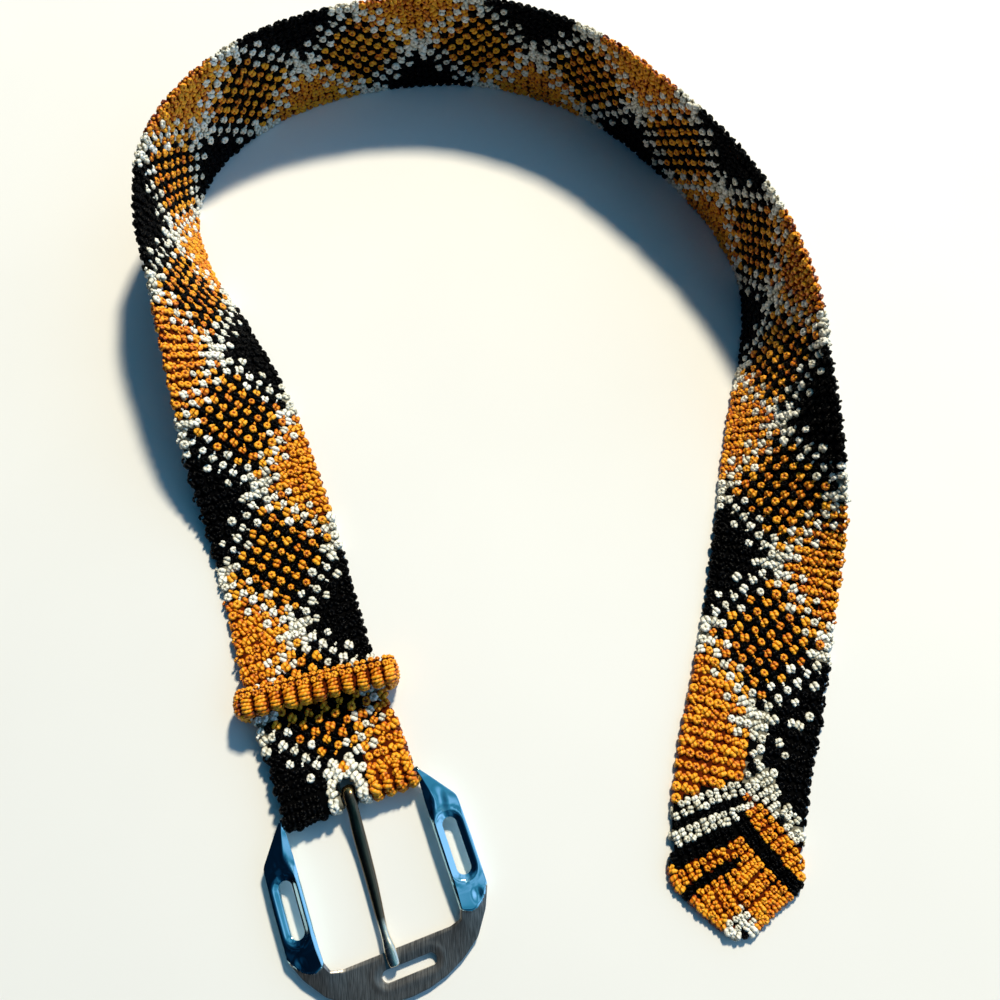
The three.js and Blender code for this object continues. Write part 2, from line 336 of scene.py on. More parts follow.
# A ring of cord lying round a dimple.
def modelRing(shape, around, section):
    clearSelection()
    bpy.ops.mesh.primitive_torus_add(
        major_segments=around, minor_segments=section, major_radius=shape["radius"],
        minor_radius=shape["cord"], location=(0, 0, shape["height"]),
    )
    ring = bpy.context.object
    settle(ring)
    points = pointsOf(ring)
    outward = np.hypot(points[:, 0], points[:, 1]) - shape["radius"]
    angle = np.arctan2(points[:, 1], points[:, 0])
    up = points[:, 2] - shape["height"]
    # rise is painted shade: dark low on the cord and in the ring's hole, light on its top
    rise = up / shape["cord"] / 2 + 0.5
    rise = np.minimum(rise, shape["holeShade"] + (1 - shape["holeShade"]) * (outward / shape["cord"] + 1))
    template = readTemplate(ring, angle * shape["radius"], np.arctan2(up, outward) / (2 * math.pi),
                            2 * math.pi * shape["radius"], rise)
    template["points"][:, 2] += shape["wave"] * np.cos(2 * angle) * rise
    return template

# An arch of cord from -half to half that leans to one side of its middle.
def modelArch(shape, ring, steps):
    half, lean = shape["half"], math.atan2(shape["bow"], shape["rise"])
    tall = math.hypot(shape["bow"], shape["rise"])
    radius = (half * half + tall * tall) / (2 * tall)
    up = Vector((0, math.sin(lean), math.cos(lean)))
    axis = Vector((1, 0, 0)).cross(up)
    center = Vector((0, shape["spread"], shape["base"])) + up * (tall - radius)
    start = Vector((-half, shape["spread"], shape["base"]))
    sweep = 2 * math.asin(min(half / radius, 1))
    if tall > radius:
        sweep = 2 * math.pi - sweep
    tangent = axis.cross(start - center).normalized()
    clearSelection()
    bpy.ops.mesh.primitive_circle_add(
        vertices=ring, radius=shape["cord"], fill_type="NGON", location=start,
        rotation=tangent.to_track_quat("Z", "Y").to_euler(),
    )
    arch = bpy.context.object
    settle(arch)
    bpy.ops.object.mode_set(mode="EDIT")
    bpy.ops.mesh.select_all(action="SELECT")
    bpy.ops.mesh.spin(steps=steps, angle=sweep, center=center, axis=axis)
    faceOutward(arch)
    points = pointsOf(arch)
    reach = points - np.array(center)
    flat, height, side = reach[:, 0], reach @ np.array(up), reach @ np.array(axis)
    along = np.arctan2(flat, height) * radius
    around = np.arctan2(side, np.hypot(flat, height) - radius) / (2 * math.pi)
    # rise is painted shade: dark at the arch's foot, light at its top
    rise = (points[:, 2] - shape["base"]) / (shape["rise"] + shape["cord"])
    return readTemplate(arch, along, around, math.inf, rise)


# Keeps a modelled piece as arrays. length is how far along the cord its ends meet again.
# rise is each point's painted shade factor, from dark low on the cord to light on its top
def readTemplate(piece, along, around, length, rise):
    mesh = piece.data
    points = pointsOf(piece)
    sizes = np.array([len(face.vertices) for face in mesh.polygons])
    corners = np.concatenate([list(face.vertices) for face in mesh.polygons])
    cordMap = np.stack([along[corners], around[corners]], axis=1)
    first = 0
    for size in sizes:  # a face that crosses a seam keeps its values together
        part = cordMap[first:first + size]
        for k, whole in ((0, length), (1, 1.0)):
            part[part[:, k] < part[:, k].max() - whole / 2, k] += whole
        first += size
    bpy.data.objects.remove(piece)
    bpy.data.meshes.remove(mesh)
    return {"points": points, "sizes": sizes, "corners": corners, "map": cordMap, "rise": rise}


def besideItself(template):  # two arches that lean apart
    turned = template["points"] * [-1, -1, 1]
    twice = {key: np.concatenate([template[key]] * 2) for key in ("sizes", "map", "rise")}
    corners = np.concatenate([template["corners"], template["corners"] + len(turned)])
    return {**twice, "points": np.vstack([template["points"], turned]), "corners": corners}


ringKnot = modelRing(knot["ring"], 8, 5)
backKnot = modelRing(knot["ring"], 7, 4)
pairKnot = besideItself(modelArch(knot["pair"], 6, 4))
smallLoop = modelArch(knot["loop"], 5, 3)
print("knots modelled:", len(ringKnot["sizes"]), "and", len(pairKnot["sizes"]), "faces")


def mixedKnots(frames):  # some knots show as a ring, the others as two strands side by side
    rings = chance.random(len(frames)) < knot["rings"]
    return [(ringKnot, frames[rings]), (pairKnot, frames[~rings])]


# Copies of templates joined into one mesh. Each batch is a template and its frames: a place and
# three axes for each copy, in millimetres.
def joinCopies(name, batches, material):
    points, sizes, corners, maps, rises, tones = [], [], [], [], [], []
    used = 0
    for template, frames in batches:
        count, size = len(frames), len(template["points"])
        if not count:
            continue
        local = template["points"]
        placed = frames[:, None, 0] + np.einsum("vk,nkd->nvd", local, frames[:, 1:])
        points.append(placed.reshape(-1, 3))
        sizes.append(np.tile(template["sizes"], count))
        shift = used + size * np.arange(count)[:, None]
        corners.append((template["corners"][None] + shift).ravel())
        maps.append(np.tile(template["map"], (count, 1)))
        rises.append(np.tile(template["rise"], count))
        tones.append(np.repeat(chance.random(count), size))
        used += size * count
    points, sizes, corners = np.concatenate(points), np.concatenate(sizes), np.concatenate(corners)
    points[:, 2] = np.maximum(points[:, 2], floorGap)
    mesh = bpy.data.meshes.new(name)
    mesh.vertices.add(len(points))
    mesh.vertices.foreach_set("co", (points * mm).astype(np.float32).ravel())
    mesh.loops.add(len(corners))
    mesh.loops.foreach_set("vertex_index", corners.astype(np.int32))
    mesh.polygons.add(len(sizes))
    starts = np.concatenate([[0], np.cumsum(sizes)[:-1]])
    mesh.polygons.foreach_set("loop_start", starts.astype(np.int32))
    mesh.polygons.foreach_set("use_smooth", np.ones(len(sizes), bool))
    mesh.update(calc_edges=True)
    cordMap = mesh.uv_layers.new(name="cord")
    cordMap.data.foreach_set("uv", np.concatenate(maps).astype(np.float32).ravel())
    for key, values in (("tone", tones), ("rise", rises)):
        attribute = mesh.attributes.new(key, "FLOAT", "POINT")
        attribute.data.foreach_set("value", np.concatenate(values).astype(np.float32))
    mesh.validate()
    piece = bpy.data.objects.new(name, mesh)
    bpy.context.scene.collection.objects.link(piece)
    mesh.materials.append(material)
    return piece


# The band's line

band = {
    "width": 42.0, "thick": 3.0, "columns": 16, "steps": 2601,
    "tipWidth": 40.0, "tipTaper": 80.0, "tipLength": 17.0, "tipEnd": 3.0, "tipCurve": 1.35,
    # inner edge x, inner edge y, lean (0 flat, 90 on edge), lift of the edge
    "rows": [
        (-34.8, 32.3, 0, 2.9), (-40.3, 48.5, 0, 2.9), (-45.3, 64.5, 0, 2.9), (-51.4, 86.0, 0, 0),
        (-57.2, 108.0, 0, 0), (-65.0, 132.0, 10, 0), (-75.0, 157.0, 31, 0), (-91.5, 187.0, 54, 0),
        (-107.0, 213.5, 71, 0), (-112.6, 237.0, 81, 0), (-104.5, 261.0, 86, 0), (-79.0, 283.5, 87, 0),
        (-41.5, 295.5, 88, 0), (3.5, 294.5, 88, 0), (41.5, 277.5, 88, 0), (69.0, 249.5, 88, 0),
        (89.5, 216.5, 86, 0), (96.4, 189.0, 80, 0), (92.5, 163.5, 65, 0), (84.6, 139.5, 49, 0),
        (77.6, 116.0, 30, 0), (71.4, 93.5, 10, 0), (65.0, 70.0, 0, 0), (57.4, 45.5, 0, 0),
        (49.2, 20.5, 0, 0), (43.5, -4.5, 0, 0), (41.4, -28.5, 0, 0),
    ],
}


# A smooth curve through rows of values: power 0.5 spaces it by the gaps between the rows.
def curveThrough(rows, steps, power):
    rows = np.asarray(rows, float)
    before = rows[0] if power == 0 else 2 * rows[0] - rows[1]
    after = rows[-1] if power == 0 else 2 * rows[-1] - rows[-2]
    p = np.vstack([before, rows, after])
    gap = np.maximum(np.linalg.norm(np.diff(p, axis=0), axis=1), 1e-6)[:, None] ** power
    place = np.linspace(0, len(rows) - 1, steps)
    i = np.minimum(place.astype(int), len(rows) - 2)
    t = (place - i)[:, None]
    a, b, c, d = p[i], p[i + 1], p[i + 2], p[i + 3]
    g, h, k = gap[i], gap[i + 1], gap[i + 2]
    leave = ((b - a) / g - (c - a) / (g + h) + (c - b) / h) * h
    arrive = ((c - b) / h - (d - b) / (h + k) + (d - c) / k) * h
    return b + leave * t + (3 * (c - b) - 2 * leave - arrive) * t**2 + (2 * (b - c) + leave + arrive) * t**3


def bandLine():
    rows, steps = np.array(band["rows"]), band["steps"]
    edge = curveThrough(rows[:, :2], steps, 0.5)
    travel = unit(np.gradient(edge, axis=0))
    lean = np.radians(np.maximum(curveThrough(rows[:, 2:3], steps, 0)[:, 0], 0))
    place = np.linspace(0, len(rows) - 1, steps)
    row = np.minimum(place.astype(int), len(rows) - 2)
    lift = rows[row, 3] + (rows[row + 1, 3] - rows[row, 3]) * smoothstep(place - row, 0, 1)
    outward = np.stack([-travel[:, 1], travel[:, 0], 0 * lean], axis=1)
    upward = np.array([0, 0, 1.0])
    wide = outward * np.cos(lean)[:, None] + upward * np.sin(lean)[:, None]
    face = upward * np.cos(lean)[:, None] - outward * np.sin(lean)[:, None]
    origin = np.column_stack([edge + underCamera, lift])
    middle = origin + wide * band["width"] / 2
    edgeLength = lengthAlong(edge)
    return {"s": lengthAlong(middle), "origin": origin, "wide": wide, "face": face,
            "toTip": edgeLength[-1] - edgeLength}


line = bandLine()
bandLength = line["s"][-1]


def lineAt(key, s):
    values = line[key]
    return np.interp(s, line["s"], values) if values.ndim == 1 else readAlong(s, line["s"], values)


def halfWidthAt(s):
    toTip = lineAt("toTip", s)
    width = band["tipWidth"] + (band["width"] - band["tipWidth"]) * smoothstep(toTip, 0, band["tipTaper"])
    share = np.clip(toTip / band["tipLength"], 0, 1)
    return (band["tipEnd"] + (width - band["tipEnd"]) * (1 - (1 - share) ** band["tipCurve"])) / 2


# The fold round the bar

fold = {
    "radius": 4.0, "turnBack": 22.0, "topEnd": 5.75, "handles": ((13.0, 6.0), (6.4, 7.9)),
    "underTo": 0.4, "beyond": (30.0, 5.9), "turn": 17.0, "start": 9.36, "offset": -0.1, "blend": 15.0,
    "slotHalf": 2.65, "slotBack": 6.4,
}


# Side view of the doubled end, from under the band round the bar's front to its top and back.
def foldLine():
    share = np.linspace(0, 1, 60)[:, None]
    farHandle, nearHandle = (np.array(handle) for handle in fold["handles"])
    near, far = np.array([0, 2 * fold["radius"]]), np.array([fold["turnBack"], fold["topEnd"]])
    top = (near * (1 - share)**3 + 3 * nearHandle * share * (1 - share)**2
           + 3 * farHandle * share**2 * (1 - share) + far * share**3)
    angle = np.linspace(-math.pi / 2, math.pi / 2, 48)[:, None]
    front = np.hstack([-fold["radius"] * np.cos(angle), fold["radius"] * (1 + np.sin(angle))])
    under = np.stack([np.linspace(fold["turnBack"], fold["underTo"], 40), np.zeros(40)], axis=1)
    path = np.vstack([under, front, top[1:], [fold["beyond"]]])
    length = lengthAlong(path)
    topPlace = length[len(under) + len(front) - 1]
    return {"d": length - topPlace, "path": path, "travel": unit(np.gradient(path, axis=0))}


foldPath = foldLine()
foldStart = foldPath["d"][0] - fold["start"]


def foldAt(x, s):
    d = s + fold["start"]
    path, travel = (readAlong(d, foldPath["d"], foldPath[key]) for key in ("path", "travel"))
    travel = unit(travel)
    cos, sin = math.cos(math.radians(fold["turn"])), math.sin(math.radians(fold["turn"]))
    side, back, up = np.array([[cos, sin, 0], [-sin, cos, 0], [0, 0, 1.0]])
    along = travel[..., :1] * back + travel[..., 1:] * up
    face = travel[..., :1] * up - travel[..., 1:] * back
    across = (x - band["width"] / 2 + fold["offset"])[..., None] * side
    place = barFoot + across + path[..., :1] * back + path[..., 1:] * up
    return place, np.broadcast_to(side, place.shape), along, face


# The band's middle surface: x is measured from the outer edge, s along the middle, and the axes
# point to the inner edge, along the band to the tip, and out of its face.
def surfaceAt(x, s):
    x, s = np.broadcast_arrays(np.asarray(x, float), np.asarray(s, float))
    clipped = np.clip(s, 0, bandLength)
    wide, face = unit(lineAt("wide", clipped)), unit(lineAt("face", clipped))
    across = -wide
    along = np.cross(face, across)
    place = lineAt("origin", clipped) + wide * (band["width"] - x)[..., None] + face * band["thick"]
    foldPlace, foldAcross, foldAlong, foldFace = foldAt(x, s)
    share = smoothstep(s, 0, fold["blend"])[..., None]
    place = foldPlace + (place - foldPlace) * share
    face = unit(foldFace + (face - foldFace) * share)
    across = foldAcross + (across - foldAcross) * share
    along = unit(np.cross(face, across))
    across = np.cross(along, face)
    return place - face * band["thick"] / 2, across, along, face


# The pattern: sixteen cords from each edge cross each other on the bias, so each knot's colour
# follows from its column, its row and the direction its cord runs in

pattern = {
    "repeat": 16, "firstCluster": -1, "rowsBefore": 8.5,
    "clusters": [-5, 47, 99, 150, 199, 250, 299, 346, 394, 441, 489, 537, 583, 630, 683],
    "cords": ["cream"] * 2 + ["ochre"] * 6 + ["cream"] * 2 + ["black"] * 6,
}
lastCord = 2 * len(pattern["cords"]) - 1


def rowPlace(row):
    clusters = pattern["clusters"]
    known = (np.arange(len(clusters)) + pattern["firstCluster"]) * pattern["repeat"] - pattern["rowsBefore"]
    first = (clusters[1] - clusters[0]) / pattern["repeat"]
    last = (clusters[-1] - clusters[-2]) / pattern["repeat"]
    row = np.asarray(row, float)
    inside = np.interp(row, known, clusters)
    return inside + np.minimum(row - known[0], 0) * first + np.maximum(row - known[-1], 0) * last


def cordColor(number):
    return np.array(pattern["cords"])[((number + 1) // 2) % len(pattern["cords"])]


# The slanting set that runs outward-down has c + r even, the other one has it odd.
def knotColors(c, r):
    evenColumn, evenSum = c % 2 == 0, (c + r) % 2 == 0
    downward = np.where(evenColumn, c - r - 1, c - r + 1)
    upward = lastCord - np.where(evenColumn, c + r + 1, c + r - 1)
    return cordColor(np.where(evenSum, downward, upward)), evenSum


def loopColors(c, r):
    evenSum = (c + r) % 2 == 0
    return cordColor(np.where(evenSum, c - r + 1, lastCord - (c + r - 1)))


# At the tip the cords part into slanting stripes. Each stripe ends where the place along the band
# and a share of the distance from its edge add up to the value given.
tip = {
    "start": 690.0, "middle": 20.5, "pitch": 2.5, "inset": 1.25, "step": 2.5,
    "stripes": 713.6, "stripesEnd": 790.0, "stripeGap": 0.8,
    "outerSlope": 1.1, "outer": [(722.5, "cream"), (733.7, "ochre"), (739.6, "black"), (761.0, "ochre"),
                                 (765.5, "cream"), (999.0, "black")],
    "innerSlope": 0.55, "inner": [(717.3, "cream"), (721.2, "black"), (725.8, "cream"), (730.2, "black"),
                                  (736.2, "ochre"), (739.6, "black"), (753.0, "ochre"), (757.0, "cream"),
                                  (999.0, "black")],
    "blackEdge": 5.0, "plainEdge": 13.0, "whole": 7.5, "wholeFrom": 716.0, "gaps": (2.3, 1.9),
    "ridge": 4.7, "ridgeHalf": 1.03, "ridgeStep": 2.25, "ridgeSize": (0.82, 0.90, 1.25), "ridgeTurn": 16.0,
    "ridgeSpan": 800.0, "endGap": 1.5, "sideGap": 1.2, "pointGap": 1.3, "pointFrom": 2.0,
    "rowFrom": 1.0, "rowEnd": 0.05,
    # single cream knots on the black before the stripes: x, s
    "single": [(18.1, 683.5), (16.0, 685.1), (8.1, 681.6), (6.0, 682.7), (3.4, 677.7), (11.7, 687.8),
               (10.4, 690.3), (17.9, 692.1), (13.9, 693.1), (17.3, 695.8), (15.7, 697.9), (12.7, 696.9),
               (14.5, 700.1), (7.1, 702.9), (11.7, 702.7), (15.3, 706.4), (10.7, 707.1), (19.3, 689.0),
               (19.4, 693.8), (19.0, 701.5), (18.6, 704.0), (18.2, 709.5)],
    "singleReach": 1.5,
}


def stripeValue(x, s):
    inner = s + tip["innerSlope"] * (band["width"] - x)
    return np.where(x < tip["middle"], s + tip["outerSlope"] * x, inner)


def tipColors(x, s, own):
    found = own.copy()
    value = stripeValue(x, s)
    for side, here in (("outer", x < tip["middle"]), ("inner", x >= tip["middle"])):
        low = tip["stripes"]
        for high, color in tip[side]:
            found[here & (s > tip["start"]) & (value >= low) & (value < high)] = color
            low = high
    # before the stripes the outer edge is plain black, and the inner part ochre
    before = (s > tip["start"]) & (value < tip["stripes"])
    plain = (x < tip["blackEdge"]) | ((x < tip["plainEdge"]) & (found == "ochre"))
    found[before & plain & (x < tip["middle"])] = "black"
    found[before & (x >= tip["middle"])] = "ochre"
    # further in, the outer cream stripe is broken up
    broken = (found == "cream") & between(s, tip["start"], tip["wholeFrom"])
    broken &= between(x, tip["whole"], tip["middle"])
    broken &= np.sin(tip["gaps"][0] * x) * np.sin(tip["gaps"][1] * s) < 0
    found[broken] = "black"
    for singleX, singleS in tip["single"]:
        found[np.hypot(x - singleX, s - singleS) < tip["singleReach"]] = "cream"
    return found


# Round the prong's eye a ring of cream knots, with a star of more behind it: from the middle of the
# fold, and along it from the top of the bar. Beside it the ochre cords gather into ridges.
star = {
    "clear": 2.35, "size": (1.34, 1.24, 1.15), "turn": 45.0,
    "cream": [(-5.0, -8.2), (-5.1, -5.6), (-5.2, -3.0), (-4.9, -0.5), (-4.6, 2.2), (-3.6, 4.8), (-1.3, 6.9),
              (1.4, 6.7), (3.7, 4.6), (4.5, 1.9), (4.4, -0.8), (4.6, -3.4), (4.6, -6.0), (4.5, -8.6),
              (-2.2, 11.0), (-1.6, 9.0), (-4.2, 8.5), (3.8, 8.6), (6.4, 6.9), (3.0, 11.0)],
    "ochre": [(1.2, 8.8)],
    "ridges": [8.3, 12.2, 16.1, 19.6], "ridgeFrom": -8.6, "ridgeTo": 4.6, "ridgeStep": 2.5,
    "ridgeTurn": 24.0, "ridgeSize": (1.22, 1.06, 1.35), "ridgeSide": 2.6, "ridgeEnd": 1.0,
    # room for the prong's eye: half width, and where along the fold
    "eyeHalf": 4.0, "eyeFrom": -9.0, "eyeTo": 4.5,
}
lay = {
    "firstRow": -38, "lastRow": 226, "startGap": 1.2, "endGap": 2.0, "slotGap": 0.9, "tipGap": 1.0,
    "slant": 50.0, "slantSpread": 13.0, "slide": 0.12, "tilt": 0.15, "heightSpread": 0.10,
    "sizeSpread": 0.07, "faceSize": (1.16, 1.10, 1.0), "backSize": (1.14, 1.10, 1.0), "backFrom": 14.0,
    "loopSize": (0.74, 0.74, 0.86), "loopFrom": 3.0,
    "edgeSize": (0.98, 0.90, 0.60), "edgeInset": 0.72, "edgeGap": (-6.0, 16.0), "edgeStart": 2.0,
    "edgeColumn": 1.0,  # how far inside the edge a loop's colour is read
    # before this place plain blocks of colour: black up to one column, ochre from another
    "blocksTo": -5.6, "blackTo": 5, "ochreFrom": 10,
}


# A place and three sized axes for each copy.
def sizedFrames(place, length, width, normal, size):
    return np.stack([place, length * size[:, :1], width * size[:, 1:2], normal * size[:, 2:]], axis=1)


# Frames for copies at places on the band: turn is from the across axis, side is 1 on the face and
# -1 on the back.
def framesAt(x, s, turn, size, side=1):
    x, s = np.asarray(x, float), np.asarray(s, float)
    count = len(x)
    place, across, along, face = surfaceAt(x + chance.normal(0, lay["slide"], count),
                                           s + chance.normal(0, lay["slide"], count))
    angle = np.radians(np.broadcast_to(turn, x.shape) + chance.normal(0, lay["slantSpread"], count))[:, None]
    length = across * np.cos(angle) + along * np.sin(angle)
    normal = unit(face * side + chance.normal(0, lay["tilt"], (count, 3)))
    width = unit(np.cross(normal, length))
    length = np.cross(width, normal)
    size = np.broadcast_to(size, (count, 3)) * (1 + chance.normal(0, lay["sizeSpread"], count))[:, None]
    size[:, 2] *= 1 + chance.normal(0, lay["heightSpread"], count)
    return sizedFrames(place, length, width, normal, size)


# Every crossing of the cords: its column and row, its place, its colour and its slant
rowNumbers = np.arange(lay["firstRow"], lay["lastRow"])
columnGrid, rowGrid = (grid.ravel() for grid in np.meshgrid(np.arange(band["columns"]), rowNumbers))
sGrid = rowPlace(rowGrid)
halfGrid = halfWidthAt(sGrid)
pitchGrid = np.maximum(halfGrid * 2 / band["columns"], tip["pitch"])
xGrid = band["width"] / 2 + (columnGrid + 0.5 - band["columns"] / 2) * pitchGrid
offMiddle = xGrid - band["width"] / 2
colors, slantSet = knotColors(columnGrid, rowGrid)
slant = np.where(slantSet, -lay["slant"], lay["slant"])
inBlocks = sGrid < lay["blocksTo"]
blocks = np.where(columnGrid >= lay["ochreFrom"], "ochre", "cream")
blocks = np.where(columnGrid <= lay["blackTo"], "black", blocks)
colors = np.where(inBlocks, blocks, colors)
slant = np.where(inBlocks, 90, slant)
thinned = (sGrid > tip["start"]) & (xGrid < tip["middle"]) & ~slantSet
colors = np.where(thinned & (colors == "cream"), "black", colors)
colors = tipColors(xGrid, sGrid, colors)

# Which of them get a plain knot
keep = between(sGrid, foldStart + lay["startGap"], bandLength - lay["endGap"])
slotTo = fold["slotBack"] - fold["start"]
keep &= ~((np.abs(offMiddle) < fold["slotHalf"]) & (sGrid < slotTo + lay["slotGap"]))
inTip = lineAt("toTip", sGrid) < band["tipLength"]
keep &= ~inTip | (np.abs(offMiddle) < halfGrid - tip["inset"] - lay["tipGap"])
keep &= (sGrid < tip["start"]) | (stripeValue(xGrid, sGrid) < tip["stripes"] - tip["stripeGap"])
fromMiddle, fromBar = offMiddle + fold["offset"], sGrid + fold["start"]
for starX, starD in star["cream"] + star["ochre"]:
    keep &= np.hypot(fromMiddle - starX, fromBar - starD) > star["clear"]
keep &= ~((fromMiddle > star["ridges"][0] - star["ridgeSide"])
          & between(fromBar, star["ridgeFrom"] - star["ridgeEnd"], star["ridgeTo"] + star["ridgeEnd"]))
keep &= ~((np.abs(fromMiddle) < star["eyeHalf"]) & between(fromBar, star["eyeFrom"], star["eyeTo"]))
outer = keep & (sGrid > lay["backFrom"])
loopMask = keep & (columnGrid % 2 == 0) & between(sGrid, lay["loopFrom"], tip["start"])


# Knots in a row along the tip's outline: places, turns and colours.
def tipOutline():
    s = np.linspace(bandLength - band["tipLength"] - tip["rowFrom"], bandLength - tip["rowEnd"], 200)
    half = halfWidthAt(s) - tip["inset"]
    s = np.minimum(s, bandLength - tip["inset"])
    x = np.concatenate([band["width"] / 2 - half, (band["width"] / 2 + half)[::-1]])
    outline = np.stack([x, np.concatenate([s, s[::-1]])], axis=1)
    length = lengthAlong(outline)
    marks = np.linspace(0, length[-1], round(length[-1] / tip["step"]) + 1)
    rowX, rowS = readAlong(marks, length, outline).T
    turn = np.degrees(np.arctan2(np.gradient(rowS), np.gradient(rowX)))
    return rowX, rowS, turn, tipColors(rowX, rowS, np.full(len(rowX), "ochre"))


# Knots of one colour in the tip's slanting stripes. They stand in ridges across the stripes.
def slantedFrames(color, side=1):
    found = []
    for name, mirrored in (("outer", False), ("inner", True)):
        slope = tip[name + "Slope"]
        reach = math.hypot(1, slope)
        low, high = tip["stripes"] / reach + tip["stripeGap"], tip["stripesEnd"] / reach
        value = np.arange(low, high, tip["ridgeStep"])
        ridges = np.arange(-tip["ridgeSpan"], tip["ridgeSpan"], tip["ridge"])
        ridges = np.concatenate([ridges - tip["ridgeHalf"], ridges + tip["ridgeHalf"]])
        a, b = (grid.ravel() for grid in np.meshgrid(ridges, value))
        bend = tip["ridgeTurn"] * np.where(np.arange(len(a)) % len(ridges) < len(ridges) / 2, 1, -1)
        x, s = (a + slope * b) / reach, (b - slope * a) / reach
        x = band["width"] - x if mirrored else x
        inside = (x >= tip["middle"]) == mirrored
        inside &= between(s, tip["start"], bandLength - tip["inset"] - tip["endGap"])
        pointed = s > bandLength - band["tipLength"] - tip["pointFrom"]
        gap = np.where(pointed, tip["inset"] + tip["pointGap"], tip["sideGap"])
        inside &= np.abs(x - band["width"] / 2) < halfWidthAt(s) - gap
        x, s, bend = x[inside], s[inside], bend[inside]
        own = tipColors(x, s, np.full(len(x), "ochre"))
        turn = math.degrees(math.atan(slope)) * (1 if mirrored else -1) + bend[own == color]
        found.append(framesAt(x[own == color], s[own == color], turn * side, tip["ridgeSize"], side))
    return np.concatenate(found)


# Loops that wrap an edge of the band, seen in every second row: the frames point outward.
def edgeFrames(color):
    batches = []
    middle, (gapFrom, gapTo) = band["width"] / 2, lay["edgeGap"]
    for column, side in ((0, -1), (band["columns"] - 1, 1)):
        rows = rowNumbers[(rowNumbers + column) % 2 == 0]
        s = rowPlace(rows)
        good = (s > foldStart + lay["edgeStart"]) & (lineAt("toTip", s) > band["tipLength"])
        good &= (s > gapTo) | (s < gapFrom)
        rows, s = rows[good], s[good]
        half = halfWidthAt(s)
        x = np.full(len(s), middle + side * (half.mean() - lay["edgeColumn"]))
        own = tipColors(x, s, knotColors(column, rows)[0])
        own = np.where(s < lay["blocksTo"], "black" if side < 0 else "ochre", own)
        s, half = s[own == color], half[own == color]
        place, across, along, face = surfaceAt(middle + side * (half - lay["edgeInset"]), s)
        size = np.array(lay["edgeSize"]) * (1 + chance.normal(0, lay["sizeSpread"], (len(s), 1)))
        outward = across * side
        batches.append(sizedFrames(place, along, np.cross(outward, along), outward, size))
    return np.concatenate(batches)


# Knots and ridges of one colour on the fold, beside the prong.
def starBatches(color):
    middle = band["width"] / 2 - fold["offset"]
    x, d = np.array(star.get(color, [])).reshape(-1, 2).T
    batches = mixedKnots(framesAt(middle + x, d - fold["start"], star["turn"], star["size"]))
    if color == "ochre":
        steps = np.arange(star["ridgeFrom"], star["ridgeTo"], star["ridgeStep"])
        x, d = (grid.ravel() for grid in np.meshgrid(star["ridges"], steps))
        even = np.arange(len(x)) // len(star["ridges"]) % 2 == 0
        turn = np.where(even, star["ridgeTurn"], -star["ridgeTurn"])
        batches.append((pairKnot, framesAt(middle + x, d - fold["start"], turn, star["ridgeSize"])))
    return batches


tipX, tipS, tipTurn, tipOwn = tipOutline()

for color in cordMaterials:
    these = keep & (colors == color)
    faceFrames = framesAt(xGrid[these], sGrid[these], slant[these], lay["faceSize"])
    ends = tipOwn == color
    tipFrames = framesAt(tipX[ends], tipS[ends], tipTurn[ends] + 90, lay["faceSize"])
    loops = loopMask & (loopColors(columnGrid, rowGrid) == color)
    step = np.where(slantSet, 0.5, -0.5)
    loopX = xGrid[loops] + step[loops] * halfGrid[loops] * 2 / band["columns"]
    loopS = rowPlace(rowGrid[loops] - 0.5)
    loopFrames = framesAt(loopX, loopS, slant[loops], lay["loopSize"])
    batches = mixedKnots(np.concatenate([faceFrames, tipFrames, slantedFrames(color)]))
    batches += [(smallLoop, loopFrames), (ringKnot, edgeFrames(color))] + starBatches(color)
    piece = joinCopies(color + "_face", batches, cordMaterials[color])
    dress(piece, "belt", "strap")
    these = outer & (colors == color)
    backFrames = framesAt(xGrid[these], sGrid[these], slant[these], lay["backSize"], -1)
    tipFrames = framesAt(tipX[ends], tipS[ends], tipTurn[ends] + 90, lay["backSize"], -1)
    backFrames = np.concatenate([backFrames, tipFrames, slantedFrames(color, -1)])
    piece = joinCopies(color + "_back", [(backKnot, backFrames)], cordMaterials[color])
    dress(piece, "belt", "strap")
    print(color, "knots:", len(faceFrames), "on the face,", len(backFrames), "on the back")


# The cords inside the band, which show between the knots; their colours are darker copies of the cord
# colours, painted shade in the gaps

core = {
    "thick": 1.1, "edgeInset": 0.75, "tipInset": 1.0, "tipFrom": 30.0, "startGap": 0.6, "endGap": 0.8,
    "leastHalf": 0.3, "roughness": 0.8, "gloss": 0.04, "noise": 900.0, "dim": 0.45, "relief": 0.0002,
}


def coreMaterial(name, color):
    material, tree, shader = newMaterial(name + "Core", color, core["roughness"])
    shader.inputs["Specular IOR Level"].default_value = core["gloss"]
    noise = noiseNode(tree, objectPlace(tree), core["noise"], 2.0)
    dim = tuple(core["dim"] * value for value in color)
    tree.links.new(colorRamp(tree, noise, [(0.3, dim), (0.7, color)]), shader.inputs["Base Color"])
    roughen(tree, shader, noise, core["relief"])
    return material


coreMaterials = {name: coreMaterial(name, look["core"]) for name, look in cordLooks.items()}


def gridVertices(piece, columns, rows):  # column and row number of each vertex of a grid primitive
    flat = pointsOf(piece)[:, :2]
    share = (flat - flat.min(0)) / (flat.max(0) - flat.min(0))
    return np.rint(share * [columns, rows]).astype(int).T


# A gap gets the black core, painted shade, unless the knots round it share a colour; then it gets that
# colour's core, also darkened as painted shade.
def coreColors():
    names = colors.reshape(-1, band["columns"])
    around = np.pad(names, 1, mode="edge")
    same = sum((around[a:a + len(names), b:b + band["columns"]] == names).astype(int)
               for a, b in ((0, 1), (2, 1), (1, 0), (1, 2)))
    return np.where(same >= 3, names, "black").ravel()


